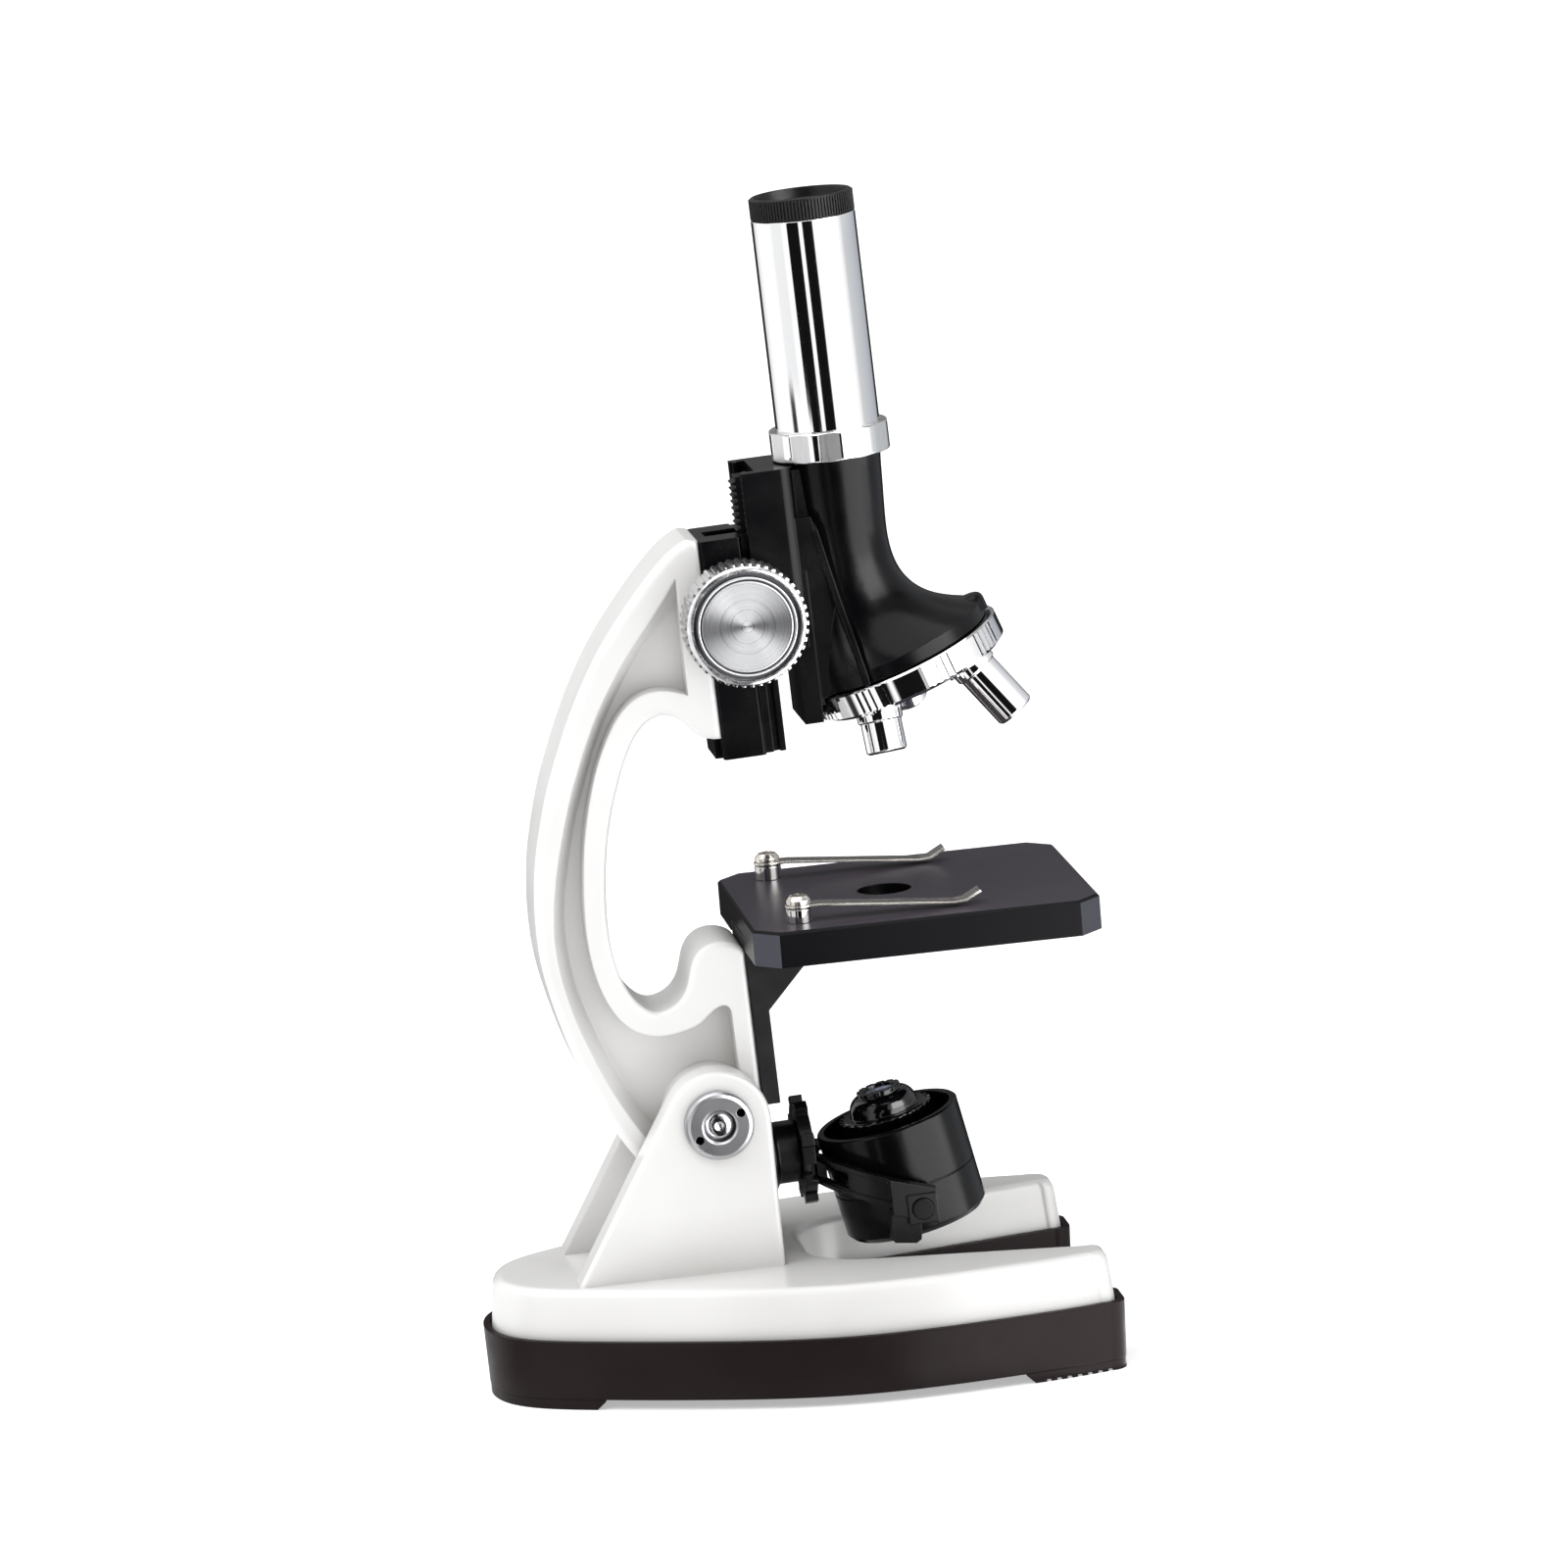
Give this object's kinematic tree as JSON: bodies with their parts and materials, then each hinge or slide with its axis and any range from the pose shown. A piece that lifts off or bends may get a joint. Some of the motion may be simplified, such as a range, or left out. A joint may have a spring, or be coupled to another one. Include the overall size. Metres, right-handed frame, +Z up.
{
  "type": "microscope",
  "caption": "Upright toy microscope: chrome draw tube and turret on a rack, white C-shaped arm tilting between base pillars, square stage with clips, flip lamp and mirror in a fork.",
  "frame": {"origin": "bottom of the base under the middle of the overall box", "axes": "+X forward from the arm to the stage, +Z up, Y across"},
  "size_m": [0.119, 0.0814, 0.2204],
  "materials": {
    "white_body": "satin gloss white",
    "tray_black": "satin brown black",
    "gloss_black": "gloss black",
    "stage_black": "semi matt black",
    "part_black": "semi matt black",
    "chrome": "polished chrome",
    "spun_alu": "spun aluminium",
    "steel": "nickel steel",
    "cell": "printed wrap, plain",
    "brass": "brass",
    "glass": "clear lens",
    "mirror": "mirror"
  },
  "bodies": {
    "base": {"base_tray": "tray_black", "base_feet": "tray_black", "base_cover": "white_body", "base_screws": "steel", "battery_door": "tray_black", "battery_cells": "cell", "battery_contacts": "steel", "pivot_bolt": "steel", "pivot_nuts": "chrome", "pivot_washers": "steel"},
    "arm": {"arm": "white_body", "guide_block": "gloss_black", "guide_screws": "steel", "stage_bracket": "part_black", "bracket_screws": "steel", "stage_plate": "stage_black", "clip_posts": "steel", "clip_screws": "steel", "lamp_stub": "part_black"},
    "tube": {"tube_carrier": "gloss_black", "rack": "part_black", "lock_ring": "chrome", "eyepiece_tube": "chrome", "turret_screw": "steel"},
    "drive": {"focus_shaft": "steel", "pinion": "brass", "knob_near": "spun_alu", "knob_far": "spun_alu", "knob_caps": "spun_alu"},
    "eyepiece": {"eyepiece_shell": "part_black", "eye_lens": "glass", "field_lens": "glass"},
    "nosepiece": {"turret": "chrome", "objective_short": "chrome", "objective_medium": "chrome", "objective_long": "chrome", "objective_lenses": "glass"},
    "clip_a": {"clip_near": "steel"},
    "clip_b": {"clip_far": "steel"},
    "fork": {"lamp_fork": "gloss_black"},
    "lamp": {"lamp_drum": "gloss_black", "lamp_cap": "gloss_black", "lamp_lens": "glass", "mirror": "mirror"}
  },
  "joints": [
    {"name": "arm_tilt", "type": "hinge", "parent": "base", "child": "arm", "pos_m": [-0.0145, 0, 0.0505], "axis": [0, -1, 0], "range_deg": [0, 40]},
    {"name": "focus_slide", "type": "slide", "parent": "arm", "child": "tube", "axis": [-0.0366, 0, 0.9993], "range_m": [-0.014, 0.008]},
    {"name": "focus_spin", "type": "hinge", "parent": "arm", "child": "drive", "pos_m": [-0.00213, 0, 0.14432], "axis": [0, -1, 0], "range_deg": [-300, 180]},
    {"name": "eyepiece_lift", "type": "slide", "parent": "tube", "child": "eyepiece", "axis": [-0.0366, 0, 0.9993], "range_m": [0, 0.03]},
    {"name": "turret_spin", "type": "hinge", "parent": "tube", "child": "nosepiece", "pos_m": [0.02991, 0, 0.13018], "axis": [-0.3518, 0, 0.9361], "continuous": true},
    {"name": "clip_a_swivel", "type": "hinge", "parent": "arm", "child": "clip_a", "pos_m": [0.0032, -0.0215, 0.0912], "axis": [0, 0, 1], "range_deg": [-20, 45]},
    {"name": "clip_b_swivel", "type": "hinge", "parent": "arm", "child": "clip_b", "pos_m": [0.0032, 0.0215, 0.0912], "axis": [0, 0, 1], "range_deg": [-45, 20]},
    {"name": "fork_swivel", "type": "hinge", "parent": "arm", "child": "fork", "pos_m": [0.0029, 0, 0.04003], "axis": [0.9993, 0, 0.0366], "range_deg": [-15, 15]},
    {"name": "lamp_flip", "type": "hinge", "parent": "fork", "child": "lamp", "pos_m": [0.02216, 0, 0.03053], "axis": [0, 1, 0], "range_deg": [0, 180]}
  ],
  "couplings": [
    {"joint": "focus_spin", "follows": "focus_slide", "rad_per_m": 357.14}
  ]
}
